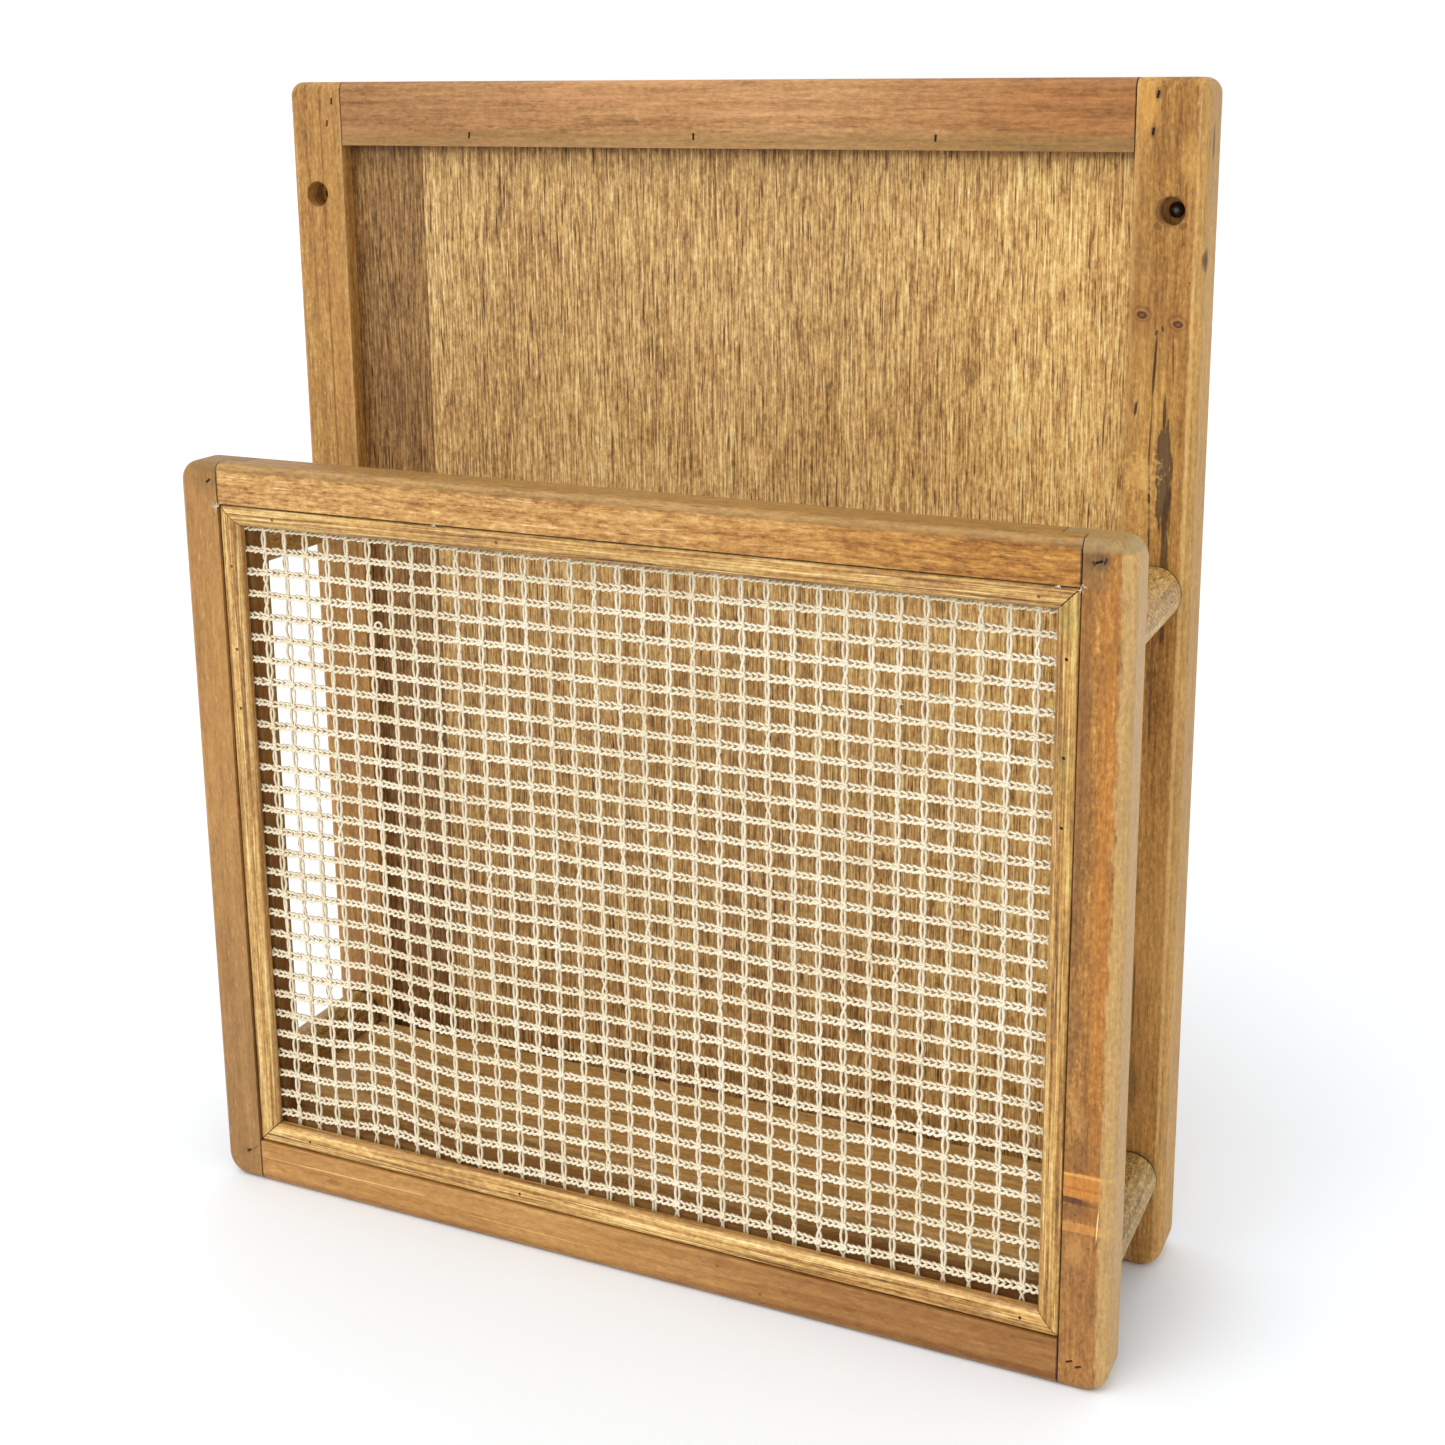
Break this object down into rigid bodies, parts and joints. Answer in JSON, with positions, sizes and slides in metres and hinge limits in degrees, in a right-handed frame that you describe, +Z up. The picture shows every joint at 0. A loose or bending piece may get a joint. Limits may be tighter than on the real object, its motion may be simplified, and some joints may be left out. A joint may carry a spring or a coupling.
{
  "type": "magazine rack",
  "caption": "Upright wooden magazine rack: low front frame with a cord net, tall back frame with a plywood panel, joined by round dowels and a bottom board.",
  "frame": {"origin": "centre of the rack's footprint, on the surface that it stands on", "axes": "+X to the right as seen from the net side, +Y to the back, +Z up along the rack's height"},
  "size_m": [0.33, 0.092, 0.392],
  "materials": {
    "frame_wood": "stained softwood with a satin oil finish",
    "bead_wood": "open-pored quarter-round beading, satin",
    "plywood": "stained plywood veneer with upright grain",
    "dowel_wood": "round dowel rod, stained, dull",
    "board_wood": "stained softwood board, dull",
    "net_cord": "undyed cotton cord, knitted and wrapped",
    "pin_steel": "darkened steel pins and nails",
    "screw_black": "black oxide screws"
  },
  "bodies": {
    "root": {"back_bottom_rail": "frame_wood", "back_panel": "plywood", "back_pin_lower_left_1": "pin_steel", "back_pin_lower_left_2": "pin_steel", "back_pin_lower_right_1": "pin_steel", "back_pin_lower_right_2": "pin_steel", "back_pin_upper_left_1": "pin_steel", "back_pin_upper_left_2": "pin_steel", "back_pin_upper_right_1": "pin_steel", "back_pin_upper_right_2": "pin_steel", "back_stile_left": "frame_wood", "back_stile_right": "frame_wood", "back_top_rail": "frame_wood", "bead_bottom": "bead_wood", "bead_brad_bottom_1": "pin_steel", "bead_brad_bottom_2": "pin_steel", "bead_brad_bottom_3": "pin_steel", "bead_brad_left_1": "pin_steel", "bead_brad_left_2": "pin_steel", "bead_brad_left_3": "pin_steel", "bead_brad_right_1": "pin_steel", "bead_brad_right_2": "pin_steel", "bead_brad_right_3": "pin_steel", "bead_brad_top_1": "pin_steel", "bead_brad_top_2": "pin_steel", "bead_brad_top_3": "pin_steel", "bead_left": "bead_wood", "bead_right": "bead_wood", "bead_top": "bead_wood", "board_nail_front_left": "pin_steel", "board_nail_front_right": "pin_steel", "board_nail_rear_left": "pin_steel", "board_nail_rear_right": "pin_steel", "bottom_board": "board_wood", "dowel_lower_left": "dowel_wood", "dowel_lower_right": "dowel_wood", "dowel_upper_left": "dowel_wood", "dowel_upper_right": "dowel_wood", "front_bottom_rail": "frame_wood", "front_pin_lower_left": "pin_steel", "front_pin_lower_right_1": "pin_steel", "front_pin_lower_right_2": "pin_steel", "front_pin_upper_left": "pin_steel", "front_pin_upper_right": "pin_steel", "front_stile_left": "frame_wood", "front_stile_right": "frame_wood", "front_top_rail": "frame_wood", "hanging_screw_left": "screw_black", "hanging_screw_right": "screw_black", "net_panel": "net_cord", "panel_brad_left": "pin_steel", "panel_brad_middle": "pin_steel", "panel_brad_right": "pin_steel"}
  },
  "joints": []
}
